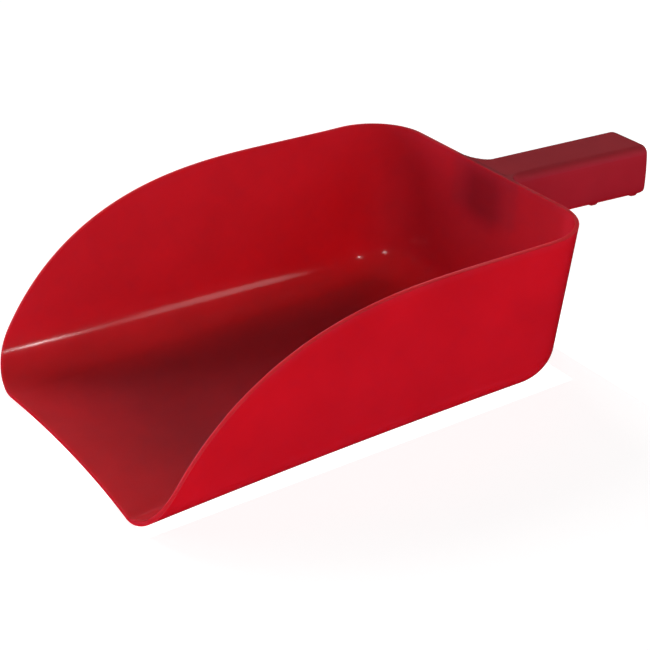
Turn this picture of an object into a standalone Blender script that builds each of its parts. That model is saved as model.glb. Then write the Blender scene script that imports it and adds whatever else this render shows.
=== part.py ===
"""Feed scoop: a moulded plastic bowl with drafted walls and a hollow handle with cross ribs.

Metres, +Z up. The origin is on the ground at the middle of the scoop's length and width. +X points from the
open front lip to the end of the handle, and the scoop is symmetric about the plane y = 0.
"""

import math

import bmesh
import bpy
from mathutils import Matrix, Vector

OBJECT_NAME = "feed_scoop"

# Whole scoop
BOWL_LENGTH = 0.255  # lip line to the foot of the back wall
HANDLE_LENGTH = 0.1101  # foot of the back wall to the end of the grip
LIP_SETBACK = 0.0025  # the foremost corners of the lip lie this far behind the lip line
FRONT_X = -(BOWL_LENGTH + HANDLE_LENGTH + LIP_SETBACK) / 2
BACK_X = FRONT_X + BOWL_LENGTH
GAP = 0.0003  # between neighbouring solids

# Bowl walls, outer face
WALL = 0.0023
FRONT_HALF_WIDTH = 0.0930  # at floor level, where the side wall would meet the floor without its fillet
BACK_HALF_WIDTH = 0.0845
SIDE_BOW = 0.0024  # the side walls pull in this much at mid length
SIDE_DRAFT = 0.1174  # slope of the side walls, sideways per unit of height
FRONT_DRAFT_LOSS = 0.009  # the slope is this much less at the lip
BACK_DRAFT = 0.0764
FRONT_FILLET = 0.0289  # radius between the floor and the walls
BACK_FILLET = 0.0202
CORNER_RADIUS = 0.03255  # in plan, between the side walls and the back wall

# Front lip and rim
LIP_RECESS = 0.0053  # the middle of the lip lies this far behind the lip line
LIP_RECESS_DEPTH = 0.016  # how far back the recess fades out
RIM_PEAK = 0.0937
RIM_FALL = 0.0052  # loss of height along the bowl
RIM_RUN = 0.1734
RIM_POWER = 2.80
RIM_EXPONENT = 0.655
RIM_SOFTENING = 0.0109

# Bowl resolution
SIDE_STATIONS = 26
CORNER_STEPS = 9
BACK_STEPS = 3
LIP_STEPS = 8
FILLET_STEPS = 7
WALL_STEPS = 4
STATION_BIAS = 1.5  # packs the stations towards the lip, where the rim climbs fastest

# Handle
HANDLE_TOP = 0.0879  # height of the grip's top at the back wall's foot line
HANDLE_HEIGHT = 0.0275
HANDLE_ROOT_HALF_WIDTH = 0.01487
HANDLE_END_HALF_WIDTH = 0.0163
HANDLE_SLOPE = 0.0554  # fall per unit of length
HANDLE_WALL = 0.0024
HANDLE_EDGE_RADIUS = 0.0049
HANDLE_TOE_RADIUS = 0.0080  # lower corner of the closed end
EDGE_SEGMENTS = 4
TOE_STEPS = 5
ROOT_SPREAD = 0.0098  # the root's fillet adds this much all round at the back wall
ROOT_RUN = 0.012  # and fades out over this distance
ROOT_POWER = 2.9
ROOT_STEPS = 6
ROOT_CEILING = 0.0006  # the fillet stops level with the rim, this far above the grip's top
ROOT_OVERRUN = 0.006  # the handle is made this much too long and cut back to the wall
COLLAR_END = 0.0195  # the collar ends this far behind the back wall's foot

# Cross ribs inside the handle
RIB_COUNT = 3
RIB_PITCH = 0.0292
LAST_RIB = 0.0982  # from the back wall's foot
RIB_THICKNESS = 0.0018
RIB_CORNER = 0.0030
PAD_LENGTH = 0.0062
PAD_DROP = 0.0012  # below the channel's lower edge
PAD_WIDTH = 0.0050
PAD_ROUNDING = 0.0010
WEB_SETBACK = 0.0004  # the web ends this far above the pads' lower faces

RED = (0.56, 0.008, 0.014, 1.0)


def clear_scene():
    for obj in list(bpy.data.objects):
        bpy.data.objects.remove(obj, do_unlink=True)


def new_collection(name):
    collection = bpy.data.collections.new(name)
    bpy.context.scene.collection.children.link(collection)
    return collection


def plastic(name, color):
    material = bpy.data.materials.new(name)
    material.use_nodes = True
    shader = material.node_tree.nodes["Principled BSDF"]
    shader.inputs["Base Color"].default_value = color
    shader.inputs["Roughness"].default_value = 0.25
    shader.inputs["Metallic"].default_value = 0.0
    return material


def mesh_object(name, shape, collection, material=None):
    """Turns a bmesh into a named object in a collection, shaded smooth except at sharp edges."""
    mesh = bpy.data.meshes.new(name)
    shape.to_mesh(mesh)
    shape.free()
    mesh.shade_smooth()
    mesh.set_sharp_from_angle(angle=math.radians(35))
    obj = bpy.data.objects.new(name, mesh)
    if material:
        mesh.materials.append(material)
    collection.objects.link(obj)
    return obj


def cutter_box(name, size, centre, tilt=0.0):
    """A cutter: a box turned about Y through its centre."""
    shape = bmesh.new()
    bmesh.ops.create_cube(shape, size=1.0)
    bmesh.ops.scale(shape, vec=size, verts=shape.verts)
    obj = mesh_object(name, shape, CUTTERS)
    obj.location = centre
    obj.rotation_euler.y = tilt
    obj.hide_render = True
    obj.display_type = "WIRE"
    return obj


def boolean(obj, cutter, operation):
    modifier = obj.modifiers.new(f"{operation.lower()} {cutter.name}", "BOOLEAN")
    modifier.operation = operation
    modifier.solver = "EXACT"
    modifier.object = cutter


def solidify(obj, thickness):
    modifier = obj.modifiers.new("wall", "SOLIDIFY")
    modifier.thickness = thickness
    modifier.offset = -1.0
    modifier.use_even_offset = True


# ---- bowl ----


def along(t, start, end):
    return start + (end - start) * t


def side_half_width(x):
    s = x / BOWL_LENGTH
    return along(s, FRONT_HALF_WIDTH, BACK_HALF_WIDTH) - SIDE_BOW * 4 * s * (1 - s)


def rim_height(x):
    """Height of the rim at a distance x behind the lip."""
    run = math.sqrt(x * x + RIM_SOFTENING**2) - RIM_SOFTENING
    left = max(1 - run / RIM_RUN, 0.0)
    return (RIM_PEAK - RIM_FALL * x / BOWL_LENGTH) * (1 - left**RIM_POWER) ** RIM_EXPONENT


def wall_section(height, fillet, draft):
    """Points from the flat floor up to a height, as (outward offset from the foot, height)."""
    tilt = math.atan(draft)
    centre = fillet * draft - fillet / math.cos(tilt)
    full_turn = math.pi / 2 - tilt
    arc_top = fillet * (1 - math.cos(full_turn))
    turn = full_turn if height >= arc_top else math.acos(1 - height / fillet)
    length = fillet * turn + max(height - arc_top, 0.0) / math.cos(tilt)
    split = min(fillet * full_turn, 0.7 * length)
    steps = [split * i / FILLET_STEPS for i in range(FILLET_STEPS)]
    steps += [along(i / WALL_STEPS, split, length) for i in range(WALL_STEPS + 1)]
    points = []
    for s in steps:
        angle = min(s / fillet, full_turn)
        straight = s - fillet * angle
        points.append(
            (
                centre + fillet * math.sin(angle) + straight * math.sin(tilt),
                fillet * (1 - math.cos(angle)) + straight * math.cos(tilt),
            )
        )
    return points


def wall_stations():
    """Places round the half plan: (foot x, foot y, outward direction, fillet, draft, sideways draft).

    The corner keeps its radius all the way up, so its walls also lean sideways.
    """
    arc_start = BOWL_LENGTH - CORNER_RADIUS
    arc_y = side_half_width(arc_start) - CORNER_RADIUS
    arc_fillet = along(arc_start / BOWL_LENGTH, FRONT_FILLET, BACK_FILLET)
    stations = []
    for i in range(SIDE_STATIONS):
        x = arc_start * (i / SIDE_STATIONS) ** STATION_BIAS
        draft = SIDE_DRAFT - FRONT_DRAFT_LOSS * (1 - x / BOWL_LENGTH) ** 2
        fillet = along(x / BOWL_LENGTH, FRONT_FILLET, BACK_FILLET)
        stations.append((x, side_half_width(x), (0.0, 1.0), fillet, draft, 0.0))
    for i in range(CORNER_STEPS + 1):
        turn = i / CORNER_STEPS
        angle = turn * math.pi / 2
        out = (math.sin(angle), math.cos(angle))
        foot_x = arc_start + CORNER_RADIUS * out[0]
        foot_y = arc_y + CORNER_RADIUS * out[1]
        draft = SIDE_DRAFT * out[1] + BACK_DRAFT * out[0]
        sideways = BACK_DRAFT * out[1] - SIDE_DRAFT * out[0]
        fillet = along(turn, arc_fillet, BACK_FILLET)
        stations.append((foot_x, foot_y, out, fillet, draft, sideways))
    for i in range(1, BACK_STEPS + 1):
        foot_y = arc_y * (1 - i / BACK_STEPS)
        sideways = -SIDE_DRAFT * foot_y / arc_y
        stations.append((BOWL_LENGTH, foot_y, (1.0, 0.0), BACK_FILLET, BACK_DRAFT, sideways))
    return stations


def lip_shift(x, y):
    """The lip's middle is set back, and the shift fades out along the floor."""
    across = min(abs(y) / FRONT_HALF_WIDTH, 1.0)
    return LIP_RECESS * (1 - across**2) * math.exp(-x / LIP_RECESS_DEPTH)


def bowl_vertex(shape, x, y, z):
    return shape.verts.new((FRONT_X + x + lip_shift(x, y), y, z))


def make_bowl():
    """Half of the outer skin: walls lofted round the plan, whose fillet, draft and height keep changing."""
    shape = bmesh.new()
    rows = []
    for foot_x, foot_y, out, fillet, draft, sideways in wall_stations():
        row = []
        for offset, height in wall_section(rim_height(foot_x), fillet, draft):
            lean = sideways * height
            x = foot_x + out[0] * offset + out[1] * lean
            y = foot_y + out[1] * offset - out[0] * lean
            row.append(bowl_vertex(shape, x, y, height))
        rows.append(row)
    for row, after in zip(rows, rows[1:]):
        for low, high, high_after, low_after in zip(row, row[1:], after[1:], after):
            shape.faces.new((low, high, high_after, low_after))
    lip_end = rows[0][0]
    lip = [bowl_vertex(shape, 0.0, lip_end.co.y * i / LIP_STEPS, 0.0) for i in range(LIP_STEPS)]
    shape.faces.new(lip + [row[0] for row in rows])
    bmesh.ops.remove_doubles(shape, verts=shape.verts, dist=1e-6)
    bmesh.ops.recalc_face_normals(shape, faces=shape.faces)
    floor = min(shape.faces, key=lambda face: face.calc_center_median().z)
    if floor.normal.z > 0:
        bmesh.ops.reverse_faces(shape, faces=shape.faces)
    bowl = mesh_object("bowl_shell", shape, PARTS, plastic("bowl_red", RED))
    mirror = bowl.modifiers.new("other half", "MIRROR")
    mirror.use_axis = (False, True, False)
    mirror.merge_threshold = 0.00001
    solidify(bowl, WALL)


# ---- handle ----


def wall_distance(x, z):
    """How far a point of the handle lies behind the back wall; z counts down from the grip's top."""
    return x - (HANDLE_TOP + z) * BACK_DRAFT


def root_spread(distance):
    return ROOT_SPREAD * max(1 - distance / ROOT_RUN, 0.0) ** ROOT_POWER


def spread_root(shape):
    """Offsets the sections near the back wall outwards, with the offset levelled off at the rim."""
    for vertex in shape.verts:
        spread = root_spread(wall_distance(vertex.co.x, vertex.co.z))
        side = math.copysign(1.0, vertex.co.y)
        half_width = along(vertex.co.x / HANDLE_LENGTH, HANDLE_ROOT_HALF_WIDTH, HANDLE_END_HALF_WIDTH)
        centre_y = half_width - HANDLE_EDGE_RADIUS
        out = Vector((abs(vertex.co.y) - centre_y, max(vertex.co.z + HANDLE_EDGE_RADIUS, 0.0)))
        if spread > 0 and out.x > -1e-5:
            push = out.normalized() * spread
            vertex.co.y += side * push.x
            vertex.co.z = min(vertex.co.z + push.y, ROOT_CEILING)


def edges_between(shape, test):
    return [edge for edge in shape.edges if all(test(vertex.co) for vertex in edge.verts)]


def cut_ring(shape, distance, trim=False):
    """Adds a ring of edges parallel to the back wall, and may trim away what lies before it."""
    geometry = list(shape.verts) + list(shape.edges) + list(shape.faces)
    point = Vector((distance + HANDLE_TOP * BACK_DRAFT, 0, 0))
    normal = (1, 0, -BACK_DRAFT)
    bmesh.ops.bisect_plane(shape, geom=geometry, plane_co=point, plane_no=normal, clear_inner=trim)


def slope_down(shape):
    """Shears a handle piece, so that it falls away from the bowl while its cross sections stay upright."""
    for vertex in shape.verts:
        vertex.co.z -= vertex.co.x * HANDLE_SLOPE


def round_toe(shape):
    """Trims the lower corner of the closed end with planes that touch its arc."""
    centre = Vector((HANDLE_LENGTH - HANDLE_TOE_RADIUS, 0, HANDLE_TOE_RADIUS - HANDLE_HEIGHT))
    for i in range(TOE_STEPS):
        angle = math.pi / 2 * (i + 0.5) / TOE_STEPS
        normal = Vector((math.sin(angle), 0, -math.cos(angle)))
        geometry = list(shape.verts) + list(shape.edges) + list(shape.faces)
        bmesh.ops.bisect_plane(
            shape,
            geom=geometry,
            plane_co=centre + normal * HANDLE_TOE_RADIUS,
            plane_no=normal,
            clear_outer=True,
        )


def handle_skin():
    """The grip's outer skin, open below and towards the bowl, with its root spread against the back wall."""
    start = -ROOT_OVERRUN
    length = HANDLE_LENGTH - start
    shape = bmesh.new()
    bmesh.ops.create_cube(shape, size=1.0)
    placing = Matrix.Translation((start + length / 2, 0, -HANDLE_HEIGHT / 2))
    sizing = Matrix.Diagonal((length, 2, HANDLE_HEIGHT, 1))
    bmesh.ops.transform(shape, matrix=placing @ sizing, verts=shape.verts)
    for vertex in shape.verts:
        vertex.co.y *= along(vertex.co.x / HANDLE_LENGTH, HANDLE_ROOT_HALF_WIDTH, HANDLE_END_HALF_WIDTH)

    rounded = []
    for edge in shape.edges:
        low, high = sorted(vertex.co.z for vertex in edge.verts)
        at_end = all(vertex.co.x > HANDLE_LENGTH - 1e-6 for vertex in edge.verts)
        along_top = low > -1e-6 and abs(edge.verts[0].co.x - edge.verts[1].co.x) > 1e-6
        if along_top or (at_end and high > -1e-6):
            rounded.append(edge)
    bmesh.ops.bevel(
        shape,
        geom=rounded,
        offset=HANDLE_EDGE_RADIUS,
        segments=EDGE_SEGMENTS,
        profile=0.5,
        affect="EDGES",
    )
    cut_ring(shape, -ROOT_OVERRUN / 3, trim=True)
    for i in range(ROOT_STEPS + 1):
        cut_ring(shape, ROOT_RUN * (i / ROOT_STEPS) ** 1.5)
    round_toe(shape)
    underside = [face for face in shape.faces if face.calc_center_median().z < 1e-6 - HANDLE_HEIGHT]
    bmesh.ops.delete(shape, geom=underside, context="FACES")
    spread_root(shape)
    slope_down(shape)
    return shape


def make_handle():
    """The collar and the channel are one skin, cut apart by a thin slot."""
    reach = 0.2
    tall = 0.2
    face_x = BACK_X + HANDLE_TOP * BACK_DRAFT + GAP
    tilt = math.atan(BACK_DRAFT)
    wall_block = cutter_box("back_wall_side", (reach, reach, tall), (0, 0, 0), tilt)
    wall_block.location = Vector((face_x, 0, HANDLE_TOP)) - Vector(
        (math.cos(tilt), 0, -math.sin(tilt))
    ) * (reach / 2)
    split_x = BACK_X + COLLAR_END
    channel_block = cutter_box("channel_side", (reach, reach, tall), (split_x + reach / 2, 0, HANDLE_TOP))
    root_block = cutter_box("root_side", (reach, reach, tall), (split_x + GAP - reach / 2, 0, HANDLE_TOP))
    plan = (
        ("handle_root_collar", (wall_block, channel_block)),
        ("handle_channel", (root_block,)),
    )
    for name, cutters in plan:
        part = mesh_object(name, handle_skin(), PARTS, plastic(f"{name}_red", RED))
        part.location = (BACK_X, 0, HANDLE_TOP)
        solidify(part, HANDLE_WALL)
        for cutter in cutters:
            boolean(part, cutter, "DIFFERENCE")


def make_rib(name, x):
    """A cross web inside the channel, with a rounded pad below each side wall."""
    half_width = along(x / HANDLE_LENGTH, HANDLE_ROOT_HALF_WIDTH, HANDLE_END_HALF_WIDTH)
    inner = half_width - HANDLE_WALL - 2 * GAP
    top = -HANDLE_WALL - 2 * GAP
    bottom = -HANDLE_HEIGHT - GAP - PAD_DROP
    web_bottom = bottom + WEB_SETBACK
    web = bmesh.new()
    bmesh.ops.create_cube(web, size=1.0)
    bmesh.ops.scale(web, vec=(RIB_THICKNESS, 2 * inner, top - web_bottom), verts=web.verts)
    bmesh.ops.translate(web, vec=(0, 0, (top + web_bottom) / 2), verts=web.verts)
    corners = edges_between(web, lambda co: co.z > top - 1e-6)
    corners = [edge for edge in corners if abs(edge.verts[0].co.y - edge.verts[1].co.y) < 1e-6]
    bmesh.ops.bevel(web, geom=corners, offset=RIB_CORNER, segments=3, profile=0.5, affect="EDGES")
    slope_down(web)
    rib = mesh_object(name, web, PARTS, plastic(f"{name}_red", RED))
    rib.location = (BACK_X + x, 0, HANDLE_TOP - x * HANDLE_SLOPE)
    for label, sign in (("left", 1), ("right", -1)):
        pad = bmesh.new()
        bmesh.ops.create_cube(pad, size=1.0)
        bmesh.ops.scale(pad, vec=(PAD_LENGTH, PAD_WIDTH, PAD_DROP), verts=pad.verts)
        low = edges_between(pad, lambda co: co.z < 0)
        bmesh.ops.bevel(pad, geom=low, offset=PAD_ROUNDING, segments=3, profile=0.5, affect="EDGES")
        slope_down(pad)
        cutter = mesh_object(f"{name}_{label}_pad", pad, CUTTERS)
        cutter.parent = rib
        cutter.location = (0, sign * (half_width - PAD_WIDTH / 2), bottom + PAD_DROP / 2)
        cutter.hide_render = True
        cutter.display_type = "WIRE"
        boolean(rib, cutter, "UNION")


def make_ribs():
    for i in range(RIB_COUNT):
        make_rib(f"handle_rib_{i + 1}", LAST_RIB - RIB_PITCH * (RIB_COUNT - 1 - i))


clear_scene()
PARTS = new_collection(OBJECT_NAME)
CUTTERS = new_collection("cutters")
make_bowl()
make_handle()
make_ribs()
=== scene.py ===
"""Looks of the feed scoop: one glossy, translucent red moulding on a pale studio floor."""

import math

import bmesh
import bpy
from mathutils import Matrix, Vector


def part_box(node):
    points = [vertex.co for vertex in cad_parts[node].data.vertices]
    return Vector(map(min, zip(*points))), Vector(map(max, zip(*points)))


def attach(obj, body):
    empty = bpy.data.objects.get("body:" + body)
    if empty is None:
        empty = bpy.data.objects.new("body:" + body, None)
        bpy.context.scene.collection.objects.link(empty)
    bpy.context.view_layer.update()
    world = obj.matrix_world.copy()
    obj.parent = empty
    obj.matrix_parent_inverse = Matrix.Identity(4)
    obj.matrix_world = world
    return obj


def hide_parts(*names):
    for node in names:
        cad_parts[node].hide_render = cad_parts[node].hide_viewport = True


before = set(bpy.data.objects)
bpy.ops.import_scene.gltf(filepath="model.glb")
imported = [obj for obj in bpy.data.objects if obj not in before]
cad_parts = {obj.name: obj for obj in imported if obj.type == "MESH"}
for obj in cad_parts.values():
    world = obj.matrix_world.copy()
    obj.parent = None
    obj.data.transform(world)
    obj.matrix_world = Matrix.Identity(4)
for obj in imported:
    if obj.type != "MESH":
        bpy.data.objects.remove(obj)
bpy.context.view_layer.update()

BODY = "root"
RIBS = sorted(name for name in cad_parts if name.startswith("handle_rib"))

# ---- driving dimensions, as in the CAD ----

WALL = 0.0023
FRONT_HALF_WIDTH = 0.0930
BACK_HALF_WIDTH = 0.0845
SIDE_BOW = 0.0024
SIDE_DRAFT = 0.1174
FRONT_DRAFT_LOSS = 0.009
BACK_DRAFT = 0.0764
FRONT_FILLET = 0.0289
BACK_FILLET = 0.0202
CORNER_RADIUS = 0.03255
LIP_RECESS = 0.0053
LIP_RECESS_DEPTH = 0.016
LIP_SETBACK = 0.0025
RIM_PEAK = 0.0937
RIM_FALL = 0.0052
RIM_RUN = 0.1734
RIM_POWER = 2.80
RIM_EXPONENT = 0.655
RIM_SOFTENING = 0.0109
BOWL_LENGTH = 0.255
HANDLE_LENGTH = 0.1101
HANDLE_TOP = 0.0879
HANDLE_HEIGHT = 0.0275
HANDLE_ROOT_HALF_WIDTH = 0.01487
HANDLE_END_HALF_WIDTH = 0.0163
HANDLE_SLOPE = 0.0554
HANDLE_WALL = 0.0024
HANDLE_EDGE_RADIUS = 0.0049
HANDLE_TOE_RADIUS = 0.0080
RIB_PITCH = 0.0292
LAST_RIB = 0.0982
RIB_THICKNESS = 0.0018
PAD_LENGTH = 0.0062
PAD_DROP = 0.0012
PAD_WIDTH = 0.0050
FRONT_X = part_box("bowl_shell")[0].x - LIP_SETBACK
BACK_X = FRONT_X + BOWL_LENGTH

# Fineness of the visible skin
SIDE_STATIONS = 96
CORNER_STEPS = 24
BACK_STEPS = 20
LIP_STEPS = 24
FILLET_STEPS = 16
WALL_STEPS = 14
STATION_BIAS = 1.5
RIM_ROUNDING = 0.0007

# Handle root: a fillet that meets the back wall, and rises to the rim at the sides
ROOT_FILLET = 0.012
RIM_STEP = 0.0009  # the rim stands this far above the grip's top
RIM_STEP_RUN = 0.0025
RIDGE_WIDTH = 0.0040
RIDGE_RUN = 0.0085  # the raised corners of the root die out this far behind the wall
ROOT_THINNING = 0.006  # the handle's wall thins towards the back wall over this length
ROOT_THINNEST = 0.15
ROOT_EMBED = 0.0012  # the handle reaches this far into the back wall, so that no seam shows
TOE_PLAN_RADIUS = 0.0050  # the toe's upright edges
TOE_CROWN = 0.0013  # the toe bulges by this much
TOE_CROWN_RUN = 0.020
ROOT_STATIONS = 16
GRIP_STATIONS = 20
END_STATIONS = 14
ROOT_WEB = 0.0035  # the back wall is this much thicker inside the channel
WEB_INSET = 0.0004
TOP_STEPS = 5
EDGE_STEPS = 12
SIDE_STEPS = 10
TOE_ROUNDING = 0.0010
LOWER_EDGE_ROUNDING = 0.0006
RIB_ROUNDING = 0.0004

# Ribs and their pads
RIB_FOOT = 0.0006  # the rib's lower edge is this far above the pads' lowest points
RIB_CORNER = 0.0024  # the rib's upper corners are cut back sideways by this much
RIB_CORNER_START = 0.0030  # the cut starts and ends this far below the grip's inner face
RIB_CORNER_END = 0.0006
RIB_EMBED = 0.0004  # the rib reaches this far into the grip's top
RIB_TAPER = 0.0002  # each face leans in by this much from the top to the foot
PAD_OUTLINE = (
    # share of the pad's length; share of its drop below the grip's lower edge, negative is down
    (-0.50, 0.30),
    (-0.50, 0.02),
    (-0.36, -0.52),
    (-0.16, -0.94),
    (0.20, -1.00),
    (0.38, -0.86),
    (0.50, -0.30),
    (0.50, 0.30),
)
PAD_END_DROP = 0.86  # the pad's outer end hangs down by this share of the full drop
PAD_END_SHARE = 0.14  # and reaches the full drop after this share of its width

# Camera, looking at a point inside the bowl
CAMERA_TARGET = Vector((-0.04922, -0.03272, 0.04594))
CAMERA_DISTANCE = 0.8300
CAMERA_AZIMUTH = math.radians(32.1475)
CAMERA_ELEVATION = math.radians(28.3298)
CAMERA_ROLL = math.radians(-1.3848)
CAMERA_LENS = 91.846
CAMERA_SENSOR = 36.0

# Plastic
# painted sheen: faces that look up are paler, from the deep red through the inner red to the upward red
DEEP_RED = (0.550, 0.0080, 0.0205, 1)
INNER_SHEEN_RED = (0.560, 0.0235, 0.0480, 1)
UPWARD_SHEEN_RED = (0.520, 0.0390, 0.0530, 1)
ROUGHNESS = 0.15
WALL_GLOW = 1.0
GRIP_GLOW = 0.15  # the grip is doubled up and boxed in, so little light comes through it
GRIP_PAINTED_SHADE = 0.91  # painted shade: the grip's colour is multiplied by this, to darken it
GLOW_DEPTH = 0.0075  # how far red light wanders in the plastic, a few times the wall
GLOW_REACH = (1.0, 0.10, 0.12)  # share of that depth for red, green and blue
PLASTIC_IOR = 1.49
FACING = (-0.1, 1.0)  # upward part of the surface's direction, from the ramp's start to its end
INNER_STOP = 0.2  # the inner red's place on the ramp
NOISE_MIDDLE = (0.3, 0.7)  # the part of a noise's range that is used
MOTTLE_SCALE = 26.0
MOTTLE_DETAIL = 3.0
MOTTLE = 0.06
RUB_SCALE = 700.0
RUB_DETAIL = 3.0
RUB_STRETCH = (0.04, 1.0, 1.0)
CLOUD_SCALE = 60.0
CLOUD_DETAIL = 4.0
GLOSS_CHANGE = 0.02
GRAIN_SCALE = 420.0
GRAIN_DETAIL = 2.0
GRAIN_STRENGTH = 0.12
GRAIN_HEIGHT = 0.0002
# painted shadow on the bowl's wall where the grip's root backs it
PAINTED_SHADOW_REACH = 0.012
PAINTED_SHADOW_DROP = 0.002
ROOT_PAINTED_SHADOW = (
    # axis, middle, reach: painted shadow on the wall where the grip's root backs it
    ("X", BACK_X + HANDLE_TOP * BACK_DRAFT, PAINTED_SHADOW_REACH),
    ("Y", 0.0, HANDLE_ROOT_HALF_WIDTH),
    ("Z", HANDLE_TOP - HANDLE_HEIGHT / 2 - PAINTED_SHADOW_DROP, HANDLE_HEIGHT / 2),
)
PAINTED_SHADOW_FADE = 0.006
PAINTED_SHADOW_SHARE = 0.70  # the wall's colour is multiplied by this inside the painted shadow

# Studio; azimuths in degrees from +Y towards +X
FLOOR_REACH = 6.0
FLOOR_GAP = 0.0002
FLOOR_PALENESS = 0.45
FLOOR_GLOW = 0.85
FLOOR_ROUGHNESS = 0.9
HORIZON = 0.06
HORIZON_AT = 0.03
OVERHEAD = 0.03
OVERHEAD_AT = 0.65
LIGHT_TARGET = Vector((-0.04, 0.0, 0.05))
LIGHT_DISTANCE = 1.30
SOFT_BOXES = (
    # name, azimuth, elevation, (width, height), radiance: these show in the plastic's gloss
    ("key", 150, 28, (0.40, 0.34), 1.9),
    ("key_core", 168.5, 34.5, (0.06, 0.07), 50.0),
    ("fill", -124, 22, (0.14, 0.18), 9.0),
    ("rim", 41, 35, (0.40, 0.25), 0.30),
)
WASHES = (
    # name, azimuth, elevation, strength: broad light without a reflection of its own
    ("front_wash", -120, 25, 0.30),
    ("side_wash", 125, 20, 0.50),
    ("far_wash", -48, 14, 0.80),
    ("back_wash", 0, 12, 1.10),
    ("high_back_wash", 0, 40, 0.80),
    ("end_wash", 95, 8, 0.15),
)
WASH_SPREAD = math.radians(30)
SHADES = (
    # name, middle, half size: the floor gives less light where the scoop stands, and beyond the grip
    ("under_bowl", (-0.055, 0.0), (0.125, 0.085)),
    ("under_grip", (0.225, 0.0), (0.140, 0.140)),
)
SHADE_CORE = 0.50  # share of a shade that is fully dark
SHADE_PALENESS = 0.1


def mesh_object(name, shape):
    mesh = bpy.data.meshes.new(name)
    shape.to_mesh(mesh)
    shape.free()
    mesh.shade_smooth()
    obj = bpy.data.objects.new(name, mesh)
    bpy.context.scene.collection.objects.link(obj)
    return obj


def along(t, start, end):
    return start + (end - start) * t


def thicken(obj, thickness):
    wall = obj.modifiers.new("wall", "SOLIDIFY")
    wall.thickness = thickness
    wall.offset = -1.0
    wall.use_even_offset = True


def soften(obj, name, width, segments, angle):
    bevel = obj.modifiers.new(name, "BEVEL")
    bevel.width = width
    bevel.segments = segments
    bevel.limit_method = "ANGLE"
    bevel.angle_limit = math.radians(angle)


# ---- bowl ----


def side_half_width(x):
    s = x / BOWL_LENGTH
    return along(s, FRONT_HALF_WIDTH, BACK_HALF_WIDTH) - SIDE_BOW * 4 * s * (1 - s)


def rim_height(x):
    run = math.sqrt(x * x + RIM_SOFTENING**2) - RIM_SOFTENING
    left = max(1 - run / RIM_RUN, 0.0)
    return (RIM_PEAK - RIM_FALL * x / BOWL_LENGTH) * (1 - left**RIM_POWER) ** RIM_EXPONENT


def wall_section(height, fillet, draft):
    tilt = math.atan(draft)
    centre = fillet * draft - fillet / math.cos(tilt)
    full_turn = math.pi / 2 - tilt
    arc_top = fillet * (1 - math.cos(full_turn))
    turn = full_turn if height >= arc_top else math.acos(1 - height / fillet)
    length = fillet * turn + max(height - arc_top, 0.0) / math.cos(tilt)
    split = min(fillet * full_turn, 0.7 * length)
    steps = [split * i / FILLET_STEPS for i in range(FILLET_STEPS)]
    steps += [along(i / WALL_STEPS, split, length) for i in range(WALL_STEPS + 1)]
    points = []
    for s in steps:
        angle = min(s / fillet, full_turn)
        straight = s - fillet * angle
        points.append(
            (
                centre + fillet * math.sin(angle) + straight * math.sin(tilt),
                fillet * (1 - math.cos(angle)) + straight * math.cos(tilt),
            )
        )
    return points


def wall_stations():
    arc_start = BOWL_LENGTH - CORNER_RADIUS
    arc_y = side_half_width(arc_start) - CORNER_RADIUS
    arc_fillet = along(arc_start / BOWL_LENGTH, FRONT_FILLET, BACK_FILLET)
    stations = []
    for i in range(SIDE_STATIONS):
        x = arc_start * (i / SIDE_STATIONS) ** STATION_BIAS
        draft = SIDE_DRAFT - FRONT_DRAFT_LOSS * (1 - x / BOWL_LENGTH) ** 2
        fillet = along(x / BOWL_LENGTH, FRONT_FILLET, BACK_FILLET)
        stations.append((x, side_half_width(x), (0.0, 1.0), fillet, draft, 0.0))
    for i in range(CORNER_STEPS + 1):
        turn = i / CORNER_STEPS
        angle = turn * math.pi / 2
        out = (math.sin(angle), math.cos(angle))
        foot_x = arc_start + CORNER_RADIUS * out[0]
        foot_y = arc_y + CORNER_RADIUS * out[1]
        draft = SIDE_DRAFT * out[1] + BACK_DRAFT * out[0]
        sideways = BACK_DRAFT * out[1] - SIDE_DRAFT * out[0]
        fillet = along(turn, arc_fillet, BACK_FILLET)
        stations.append((foot_x, foot_y, out, fillet, draft, sideways))
    for i in range(1, BACK_STEPS + 1):
        foot_y = arc_y * (1 - i / BACK_STEPS)
        sideways = -SIDE_DRAFT * foot_y / arc_y
        stations.append((BOWL_LENGTH, foot_y, (1.0, 0.0), BACK_FILLET, BACK_DRAFT, sideways))
    return stations


def lip_shift(x, y):
    across = min(abs(y) / FRONT_HALF_WIDTH, 1.0)
    return LIP_RECESS * (1 - across**2) * math.exp(-x / LIP_RECESS_DEPTH)


def bowl_vertex(shape, x, y, z):
    return shape.verts.new((FRONT_X + x + lip_shift(x, y), y, z))


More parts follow.
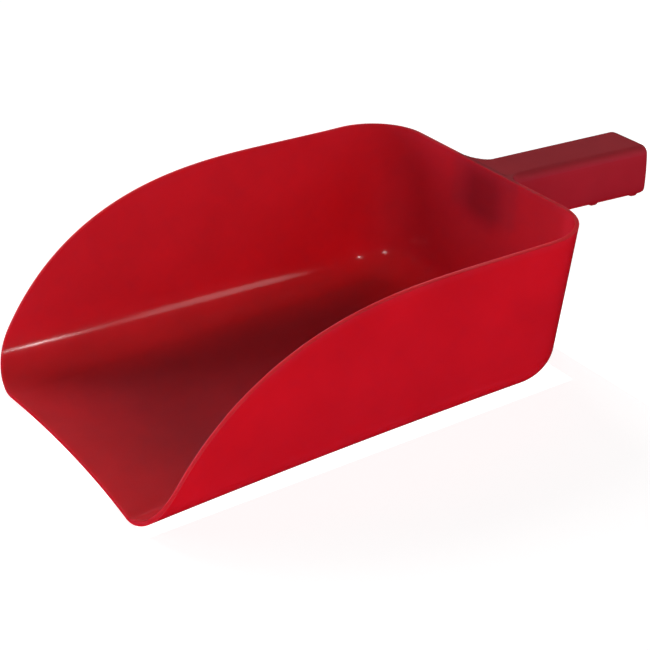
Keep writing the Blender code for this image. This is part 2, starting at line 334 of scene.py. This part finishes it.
def make_bowl():
    shape = bmesh.new()
    rows = []
    for foot_x, foot_y, out, fillet, draft, sideways in wall_stations():
        row = []
        for offset, height in wall_section(rim_height(foot_x), fillet, draft):
            lean = sideways * height
            x = foot_x + out[0] * offset + out[1] * lean
            y = foot_y + out[1] * offset - out[0] * lean
            row.append(bowl_vertex(shape, x, y, height))
        rows.append(row)
    for row, after in zip(rows, rows[1:]):
        for low, high, high_after, low_after in zip(row, row[1:], after[1:], after):
            shape.faces.new((low, high, high_after, low_after))
    lip_end = rows[0][0]
    lip = [bowl_vertex(shape, 0.0, lip_end.co.y * i / LIP_STEPS, 0.0) for i in range(LIP_STEPS)]
    shape.faces.new(lip + [row[0] for row in rows])
    bmesh.ops.remove_doubles(shape, verts=shape.verts, dist=1e-6)
    bmesh.ops.recalc_face_normals(shape, faces=shape.faces)
    floor = min(shape.faces, key=lambda face: face.calc_center_median().z)
    if floor.normal.z > 0:
        bmesh.ops.reverse_faces(shape, faces=shape.faces)
    bowl = mesh_object("bowl", shape)
    mirror = bowl.modifiers.new("other half", "MIRROR")
    mirror.use_axis = (False, True, False)
    mirror.merge_threshold = 0.00001
    thicken(bowl, WALL)
    soften(bowl, "soft rim", RIM_ROUNDING, 4, 50)
    return bowl


# ---- handle ----


def root_spread(distance):
    """Outward offset of the handle's section, from the fillet between the handle and the back wall."""
    left = min(max(ROOT_FILLET - distance, 0.0), ROOT_FILLET)
    return ROOT_FILLET - math.sqrt(ROOT_FILLET**2 - left**2)


def ease(t):
    t = min(max(t, 0.0), 1.0)
    return t * t * (3 - 2 * t)


def inset(radius, from_end):
    """How far a rounded edge has fallen back at a distance from the handle's end."""
    left = min(max(radius - from_end, 0.0), radius)
    return radius - math.sqrt(max(radius**2 - left**2, 0.0))


def handle_section(half_width, distance, from_end):
    """Half a section, as (y, z below the grip's top), from the middle of the top to the lower edge."""
    spread = root_spread(distance)
    fallen = inset(HANDLE_EDGE_RADIUS, from_end)
    radius = max(HANDLE_EDGE_RADIUS - fallen, 0.00005)
    flat = half_width - HANDLE_EDGE_RADIUS - inset(TOE_PLAN_RADIUS, from_end)
    step = RIM_STEP * max(1 - max(distance, 0.0) / RIM_STEP_RUN, 0.0) ** 2
    ridge = RIM_STEP * max(1 - max(distance, 0.0) / RIDGE_RUN, 0.0) ** 1.5
    points = [(flat * i / TOP_STEPS, step - fallen) for i in range(TOP_STEPS)]
    for i in range(EDGE_STEPS + 1):
        angle = math.pi / 2 * (1 - i / EDGE_STEPS)
        y = flat + (radius + spread) * math.cos(angle)
        z = (radius + spread) * math.sin(angle) - HANDLE_EDGE_RADIUS
        ceiling = along(ease((y - flat) / RIDGE_WIDTH), step, ridge)
        points.append((y, min(z, ceiling - fallen)))
    side = points[-1][0]
    low = inset(HANDLE_TOE_RADIUS, from_end) - HANDLE_HEIGHT
    for i in range(1, SIDE_STEPS + 1):
        points.append((side, along(i / SIDE_STEPS, -HANDLE_EDGE_RADIUS, low)))
    return points


def handle_stations():
    """(distance behind the back wall's outer face, distance from the end, share of the wall's lean)."""
    reach = HANDLE_LENGTH - HANDLE_TOP * BACK_DRAFT
    stations = [(-ROOT_EMBED, reach + ROOT_EMBED, 1.0)]
    for i in range(ROOT_STATIONS + 1):
        distance = ROOT_FILLET * (i / ROOT_STATIONS) ** 2
        stations.append((distance, reach - distance, 1.0))
    grip_end = reach - HANDLE_TOE_RADIUS
    for i in range(1, GRIP_STATIONS):
        distance = along(i / GRIP_STATIONS, ROOT_FILLET, grip_end)
        stations.append((distance, reach - distance, 1 - ease(i / GRIP_STATIONS)))
    for i in range(END_STATIONS + 1):
        from_end = HANDLE_TOE_RADIUS * (1 - math.sin(math.pi / 2 * i / END_STATIONS))
        stations.append((reach - from_end, from_end, 0.0))
    return stations


def handle_vertex(shape, x, y, z):
    return shape.verts.new((BACK_X + x, y, HANDLE_TOP + z - HANDLE_SLOPE * x))


def make_handle():
    """The whole grip as one skin: root, channel and closed end, open below."""
    shape = bmesh.new()
    rows = []
    keel = []
    for distance, from_end, lean in handle_stations():
        x_top = distance + HANDLE_TOP * BACK_DRAFT
        half_width = along(x_top / HANDLE_LENGTH, HANDLE_ROOT_HALF_WIDTH, HANDLE_END_HALF_WIDTH)
        row = []
        for y, z in handle_section(half_width, distance, from_end):
            above_middle = 1 + 2 * z / HANDLE_HEIGHT
            roundness = (1 - above_middle**2) * (1 - 0.5 * (y / half_width) ** 2)
            crown = TOE_CROWN * roundness * ease(1 - from_end / TOE_CROWN_RUN)
            row.append(handle_vertex(shape, x_top + z * BACK_DRAFT * lean + crown, y, z))
        rows.append(row)
        if from_end <= HANDLE_TOE_RADIUS + 1e-9:
            low = row[-1].co
            keel.append((row[-1], shape.verts.new((low.x, 0.0, low.z))))
    for row, after in zip(rows, rows[1:]):
        for high, low, low_after, high_after in zip(row, row[1:], after[1:], after):
            shape.faces.new((high, high_after, low_after, low))
    for (edge, middle), (edge_after, middle_after) in zip(keel, keel[1:]):
        shape.faces.new((edge, edge_after, middle_after, middle))
    shape.faces.new(rows[-1] + [keel[-1][1]])
    bmesh.ops.remove_doubles(shape, verts=shape.verts, dist=1e-5)
    bmesh.ops.recalc_face_normals(shape, faces=shape.faces)
    top = max(shape.faces, key=lambda face: face.calc_center_median().z)
    if top.normal.z < 0:
        bmesh.ops.reverse_faces(shape, faces=shape.faces)
    handle = mesh_object("handle", shape)
    thickness = handle.vertex_groups.new(name="wall thickness")
    for vertex in handle.data.vertices:
        behind_wall = vertex.co.x - BACK_X - vertex.co.z * BACK_DRAFT
        share = along(ease(behind_wall / ROOT_THINNING), ROOT_THINNEST, 1.0)
        thickness.add([vertex.index], share, "REPLACE")
    mirror = handle.modifiers.new("other half", "MIRROR")
    mirror.use_axis = (False, True, False)
    mirror.merge_threshold = 0.00001
    soften(handle, "soft toe", TOE_ROUNDING, 3, 40)
    thicken(handle, HANDLE_WALL)
    handle.modifiers["wall"].vertex_group = thickness.name
    soften(handle, "soft lower edge", LOWER_EDGE_ROUNDING, 3, 60)
    return handle


def make_root_web():
    """The thicker patch of back wall that closes the channel."""
    half = HANDLE_ROOT_HALF_WIDTH - HANDLE_WALL + WEB_INSET
    top = WEB_INSET - HANDLE_WALL
    chamfer = HANDLE_EDGE_RADIUS - HANDLE_WALL
    outline = (
        (-half, -HANDLE_HEIGHT),
        (half, -HANDLE_HEIGHT),
        (half, top - chamfer),
        (half - chamfer, top),
        (chamfer - half, top),
        (-half, top - chamfer),
    )
    shape = bmesh.new()
    front, back = [
        [
            handle_vertex(shape, depth + (HANDLE_TOP + z) * BACK_DRAFT, y, z)
            for y, z in outline
        ]
        for depth in (-ROOT_EMBED, ROOT_WEB)
    ]
    shape.faces.new(front)
    shape.faces.new(list(reversed(back)))
    for i in range(len(outline)):
        k = (i + 1) % len(outline)
        shape.faces.new((front[k], front[i], back[i], back[k]))
    bmesh.ops.recalc_face_normals(shape, faces=shape.faces)
    web = mesh_object("root_web", shape)
    soften(web, "soft edges", RIB_ROUNDING, 3, 30)
    return web


def pad_ring(shape, y, drop):
    """A pad's outline at one place across the grip; its lower part hangs down by a share of the drop."""
    ring = []
    for u, v in PAD_OUTLINE:
        below = v if v > 0 else v * drop
        ring.append(shape.verts.new((PAD_LENGTH * u, y, -HANDLE_HEIGHT + PAD_DROP * below)))
    return ring


def make_rib(name, x):
    """A cross web under the grip's top, with a rounded pad below each side wall."""
    half_width = along(x / HANDLE_LENGTH, HANDLE_ROOT_HALF_WIDTH, HANDLE_END_HALF_WIDTH)
    inner = half_width - HANDLE_WALL
    bottom = -HANDLE_HEIGHT - PAD_DROP
    shape = bmesh.new()
    web_profile = (
        (-inner, bottom + RIB_FOOT),
        (inner, bottom + RIB_FOOT),
        (inner, -HANDLE_WALL - RIB_CORNER_START),
        (inner - RIB_CORNER, -HANDLE_WALL - RIB_CORNER_END),
        (inner - RIB_CORNER, -HANDLE_WALL + RIB_EMBED),
        (RIB_CORNER - inner, -HANDLE_WALL + RIB_EMBED),
        (RIB_CORNER - inner, -HANDLE_WALL - RIB_CORNER_END),
        (-inner, -HANDLE_WALL - RIB_CORNER_START),
    )
    faces = []
    for side in (-1, 1):
        ring = [
            shape.verts.new((side * (RIB_THICKNESS / 2 + RIB_TAPER * z / HANDLE_HEIGHT), y, z))
            for y, z in web_profile
        ]
        faces.append(ring)
    shape.faces.new(faces[0])
    shape.faces.new(list(reversed(faces[1])))
    for i in range(len(web_profile)):
        k = (i + 1) % len(web_profile)
        shape.faces.new((faces[0][k], faces[0][i], faces[1][i], faces[1][k]))
    for side in (-1, 1):
        outer_y = side * half_width
        inner_y = side * (half_width - PAD_WIDTH)
        rings = [
            pad_ring(shape, outer_y, PAD_END_DROP),
            pad_ring(shape, along(PAD_END_SHARE, outer_y, inner_y), 1.0),
            pad_ring(shape, inner_y, 1.0),
        ]
        shape.faces.new(rings[0])
        shape.faces.new(list(reversed(rings[-1])))
        for ring, after in zip(rings, rings[1:]):
            for i in range(len(PAD_OUTLINE)):
                k = (i + 1) % len(PAD_OUTLINE)
                shape.faces.new((ring[k], ring[i], after[i], after[k]))
    bmesh.ops.recalc_face_normals(shape, faces=shape.faces)
    for vertex in shape.verts:
        vertex.co.z += HANDLE_TOP - (x + vertex.co.x) * HANDLE_SLOPE
        vertex.co.x += BACK_X + x
    rib = mesh_object(name, shape)
    soften(rib, "soft edges", RIB_ROUNDING, 3, 35)
    return rib


# ---- finish ----


def red_plastic(name, glow, painted_shade, painted_shadow_share):
    """Glossy red plastic that light shines into, with a painted sheen that makes the faces that look up
    paler.
    """
    material = bpy.data.materials.new(name)
    material.use_nodes = True
    nodes, links = material.node_tree.nodes, material.node_tree.links
    shader = nodes["Principled BSDF"]
    shader.inputs["IOR"].default_value = PLASTIC_IOR
    shader.inputs["Subsurface Weight"].default_value = glow
    shader.inputs["Subsurface Radius"].default_value = GLOW_REACH
    shader.inputs["Subsurface Scale"].default_value = GLOW_DEPTH
    place = nodes.new("ShaderNodeTexCoord")

    def noise(scale, detail, stretch=(1, 1, 1)):
        mapping = nodes.new("ShaderNodeMapping")
        mapping.inputs["Scale"].default_value = stretch
        links.new(place.outputs["Object"], mapping.inputs["Vector"])
        texture = nodes.new("ShaderNodeTexNoise")
        texture.inputs["Scale"].default_value = scale
        texture.inputs["Detail"].default_value = detail
        links.new(mapping.outputs["Vector"], texture.inputs["Vector"])
        return texture.outputs["Fac"]

    def map_range(value, source, target):
        node = nodes.new("ShaderNodeMapRange")
        node.inputs["From Min"].default_value, node.inputs["From Max"].default_value = source
        node.inputs["To Min"].default_value, node.inputs["To Max"].default_value = target
        links.new(value, node.inputs["Value"])
        return node.outputs["Result"]

    def tint(color, share):
        node = nodes.new("ShaderNodeMix")
        node.data_type = "RGBA"
        node.blend_type = "MULTIPLY"
        node.inputs["Factor"].default_value = 1.0
        links.new(color, node.inputs["A"])
        links.new(share, node.inputs["B"])
        return node.outputs["Result"]

    def product(first, second):
        node = nodes.new("ShaderNodeMath")
        node.operation = "MULTIPLY"
        links.new(first, node.inputs[0])
        links.new(second, node.inputs[1])
        return node.outputs["Value"]

    # painted sheen: the outside keeps the deep colour; walls that lean up are paler, and the bowl's floor
    # most of all
    split = nodes.new("ShaderNodeSeparateXYZ")
    links.new(place.outputs["Normal"], split.inputs["Vector"])
    facing = nodes.new("ShaderNodeValToRGB")
    facing.color_ramp.elements[0].position = 0.0
    facing.color_ramp.elements[0].color = DEEP_RED
    facing.color_ramp.elements[1].position = 1.0
    facing.color_ramp.elements[1].color = UPWARD_SHEEN_RED
    facing.color_ramp.elements.new(INNER_STOP).color = INNER_SHEEN_RED
    links.new(map_range(split.outputs["Z"], FACING, (0.0, 1.0)), facing.inputs["Fac"])
    # the mottle's range also carries the grip's painted shade, which darkens the grip's copy all over
    shares = ((1 - MOTTLE) * painted_shade, (1 + MOTTLE) * painted_shade)
    mottle = map_range(noise(MOTTLE_SCALE, MOTTLE_DETAIL), NOISE_MIDDLE, shares)
    color = tint(facing.outputs["Color"], mottle)

    # painted shadow: the bowl's wall is darker where the grip's root backs it
    spot = nodes.new("ShaderNodeSeparateXYZ")
    links.new(place.outputs["Object"], spot.inputs["Vector"])
    in_painted_shadow = None
    for axis, middle, reach in ROOT_PAINTED_SHADOW:
        away = nodes.new("ShaderNodeMath")
        away.operation = "SUBTRACT"
        away.inputs[1].default_value = middle
        links.new(spot.outputs[axis], away.inputs[0])
        size = nodes.new("ShaderNodeMath")
        size.operation = "ABSOLUTE"
        links.new(away.outputs["Value"], size.inputs[0])
        inside = map_range(size.outputs["Value"], (reach + PAINTED_SHADOW_FADE, reach - PAINTED_SHADOW_FADE), (0.0, 1.0))
        in_painted_shadow = product(in_painted_shadow, inside) if in_painted_shadow else inside
    # darkens the colour inside the painted shadow
    depth = map_range(in_painted_shadow, (0.0, 1.0), (1.0, painted_shadow_share))
    links.new(tint(color, depth), shader.inputs["Base Color"])

    # fine rubbing marks run along the bowl
    marks = noise(RUB_SCALE, RUB_DETAIL, RUB_STRETCH)
    rubbed = map_range(marks, NOISE_MIDDLE, (-GLOSS_CHANGE, GLOSS_CHANGE))
    clouds = noise(CLOUD_SCALE, CLOUD_DETAIL)
    cloudy = map_range(clouds, NOISE_MIDDLE, (ROUGHNESS - GLOSS_CHANGE, ROUGHNESS + GLOSS_CHANGE))
    gloss = nodes.new("ShaderNodeMath")
    links.new(rubbed, gloss.inputs[0])
    links.new(cloudy, gloss.inputs[1])
    links.new(gloss.outputs["Value"], shader.inputs["Roughness"])

    bump = nodes.new("ShaderNodeBump")
    bump.inputs["Strength"].default_value = GRAIN_STRENGTH
    bump.inputs["Distance"].default_value = GRAIN_HEIGHT
    links.new(noise(GRAIN_SCALE, GRAIN_DETAIL), bump.inputs["Height"])
    links.new(bump.outputs["Normal"], shader.inputs["Normal"])
    return material


def direction(azimuth, elevation):
    """Unit vector; azimuth in degrees from +Y towards +X, elevation up from the floor."""
    azimuth, elevation = math.radians(azimuth), math.radians(elevation)
    level = math.cos(elevation)
    return Vector((math.sin(azimuth) * level, math.cos(azimuth) * level, math.sin(elevation)))


def soft_box(name, azimuth, elevation, size, radiance):
    light = bpy.data.lights.new(name, "AREA")
    light.shape = "RECTANGLE"
    light.size, light.size_y = size
    light.energy = radiance * math.pi * size[0] * size[1]
    obj = bpy.data.objects.new(name, light)
    obj.location = LIGHT_TARGET + direction(azimuth, elevation) * LIGHT_DISTANCE
    obj.rotation_euler = (LIGHT_TARGET - obj.location).to_track_quat("-Z", "Y").to_euler()
    bpy.context.scene.collection.objects.link(obj)


def wash(name, azimuth, elevation, strength):
    light = bpy.data.lights.new(name, "SUN")
    light.angle = WASH_SPREAD
    light.energy = strength
    obj = bpy.data.objects.new(name, light)
    obj.rotation_euler = (-direction(azimuth, elevation)).to_track_quat("-Z", "Y").to_euler()
    obj.visible_glossy = False
    bpy.context.scene.collection.objects.link(obj)


def pale_floor():
    material = bpy.data.materials.new("pale_floor")
    material.use_nodes = True
    shader = material.node_tree.nodes["Principled BSDF"]
    shader.inputs["Base Color"].default_value = (FLOOR_PALENESS, FLOOR_PALENESS, FLOOR_PALENESS, 1)
    shader.inputs["Roughness"].default_value = FLOOR_ROUGHNESS
    shader.inputs["Specular IOR Level"].default_value = 0.0
    shader.inputs["Emission Color"].default_value = (1, 1, 1, 1)
    shader.inputs["Emission Strength"].default_value = FLOOR_GLOW
    return material


def shade(name, middle, half_size):
    """A dark card on the floor that the camera doesn't see, fading into the floor's glow at its edges."""
    shape = bmesh.new()
    bmesh.ops.create_grid(shape, x_segments=1, y_segments=1, size=1.0)
    bmesh.ops.scale(shape, vec=(half_size[0], half_size[1], 1.0), verts=shape.verts)
    card = mesh_object(name, shape)
    card.location = (middle[0], middle[1], -FLOOR_GAP / 2)
    card.visible_camera = False
    card.visible_glossy = False
    card.visible_shadow = False
    material = bpy.data.materials.new(name)
    material.use_nodes = True
    nodes, links = material.node_tree.nodes, material.node_tree.links
    shader = nodes["Principled BSDF"]
    shader.inputs["Base Color"].default_value = (SHADE_PALENESS, SHADE_PALENESS, SHADE_PALENESS, 1)
    shader.inputs["Specular IOR Level"].default_value = 0.0
    shader.inputs["Emission Color"].default_value = (1, 1, 1, 1)
    place = nodes.new("ShaderNodeTexCoord")
    split = nodes.new("ShaderNodeSeparateXYZ")
    links.new(place.outputs["Object"], split.inputs["Vector"])
    shares = []
    for axis, half in zip(("X", "Y"), half_size):
        share = nodes.new("ShaderNodeMath")
        share.operation = "DIVIDE"
        share.inputs[1].default_value = half
        links.new(split.outputs[axis], share.inputs[0])
        size = nodes.new("ShaderNodeMath")
        size.operation = "ABSOLUTE"
        links.new(share.outputs["Value"], size.inputs[0])
        shares.append(size)
    outer = nodes.new("ShaderNodeMath")
    outer.operation = "MAXIMUM"
    links.new(shares[0].outputs["Value"], outer.inputs[0])
    links.new(shares[1].outputs["Value"], outer.inputs[1])
    fade = nodes.new("ShaderNodeMapRange")
    fade.interpolation_type = "SMOOTHSTEP"
    fade.inputs["From Min"].default_value = SHADE_CORE
    links.new(outer.outputs["Value"], fade.inputs["Value"])
    links.new(fade.outputs["Result"], shader.inputs["Emission Strength"])
    card.data.materials.append(material)


def studio_world():
    """A dim studio, a little lighter near the horizon; the camera itself sees plain white."""
    world = bpy.data.worlds.new("studio")
    world.use_nodes = True
    nodes, links = world.node_tree.nodes, world.node_tree.links
    place = nodes.new("ShaderNodeTexCoord")
    split = nodes.new("ShaderNodeSeparateXYZ")
    links.new(place.outputs["Generated"], split.inputs["Vector"])
    sky = nodes.new("ShaderNodeValToRGB")
    stops = sky.color_ramp.elements
    stops[0].position = 0.0
    stops[0].color = (0, 0, 0, 1)
    stops[1].position = 1.0
    stops[1].color = (OVERHEAD, OVERHEAD, OVERHEAD, 1)
    low = stops.new(HORIZON_AT)
    low.color = (HORIZON, HORIZON, HORIZON, 1)
    high = stops.new(OVERHEAD_AT)
    high.color = (OVERHEAD, OVERHEAD, OVERHEAD, 1)
    links.new(split.outputs["Z"], sky.inputs["Fac"])
    seen = nodes.new("ShaderNodeLightPath")
    pick = nodes.new("ShaderNodeMix")
    pick.data_type = "RGBA"
    pick.inputs["B"].default_value = (1, 1, 1, 1)
    links.new(seen.outputs["Is Camera Ray"], pick.inputs["Factor"])
    links.new(sky.outputs["Color"], pick.inputs["A"])
    links.new(pick.outputs["Result"], nodes["Background"].inputs["Color"])
    bpy.context.scene.world = world


def make_stage():
    shape = bmesh.new()
    bmesh.ops.create_grid(shape, x_segments=1, y_segments=1, size=FLOOR_REACH)
    floor = mesh_object("studio_floor", shape)
    floor.location.z = -FLOOR_GAP
    floor.visible_glossy = False
    floor.data.materials.append(pale_floor())
    studio_world()
    for card in SHADES:
        shade(*card)
    for light in SOFT_BOXES:
        soft_box(*light)
    for light in WASHES:
        wash(*light)


def make_camera():
    camera = bpy.data.cameras.new("camera")
    camera.lens = CAMERA_LENS
    camera.sensor_width = CAMERA_SENSOR
    obj = bpy.data.objects.new("camera", camera)
    forward = Vector(
        (
            math.sin(CAMERA_AZIMUTH) * math.cos(CAMERA_ELEVATION),
            math.cos(CAMERA_AZIMUTH) * math.cos(CAMERA_ELEVATION),
            -math.sin(CAMERA_ELEVATION),
        )
    )
    turn = forward.to_track_quat("-Z", "Y").to_matrix().to_4x4()
    roll = Matrix.Rotation(CAMERA_ROLL, 4, "Z")
    obj.matrix_world = Matrix.Translation(CAMERA_TARGET - forward * CAMERA_DISTANCE) @ turn @ roll
    bpy.context.scene.collection.objects.link(obj)
    bpy.context.scene.camera = obj


# the wall's copy carries the painted shadow at the grip's root; the grip's copy is darkened all over as
# painted shade
wall_plastic = red_plastic("wall_plastic", WALL_GLOW, 1.0, PAINTED_SHADOW_SHARE)
grip_plastic = red_plastic("grip_plastic", GRIP_GLOW, GRIP_PAINTED_SHADE, 1.0)
pieces = [
    (make_bowl(), ["bowl_shell"]),
    (make_handle(), ["handle_root_collar", "handle_channel"]),
    (make_root_web(), []),
]
for i, node in enumerate(RIBS):
    x = LAST_RIB - RIB_PITCH * (len(RIBS) - 1 - i)
    pieces.append((make_rib(f"rib_{i + 1}", x), [node]))
for piece, nodes in pieces:
    piece.data.materials.append(wall_plastic if piece.name == "bowl" else grip_plastic)
    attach(piece, BODY)
    for node in nodes:
        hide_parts(node)
make_stage()
make_camera()
bpy.context.scene.view_settings.view_transform = "Standard"
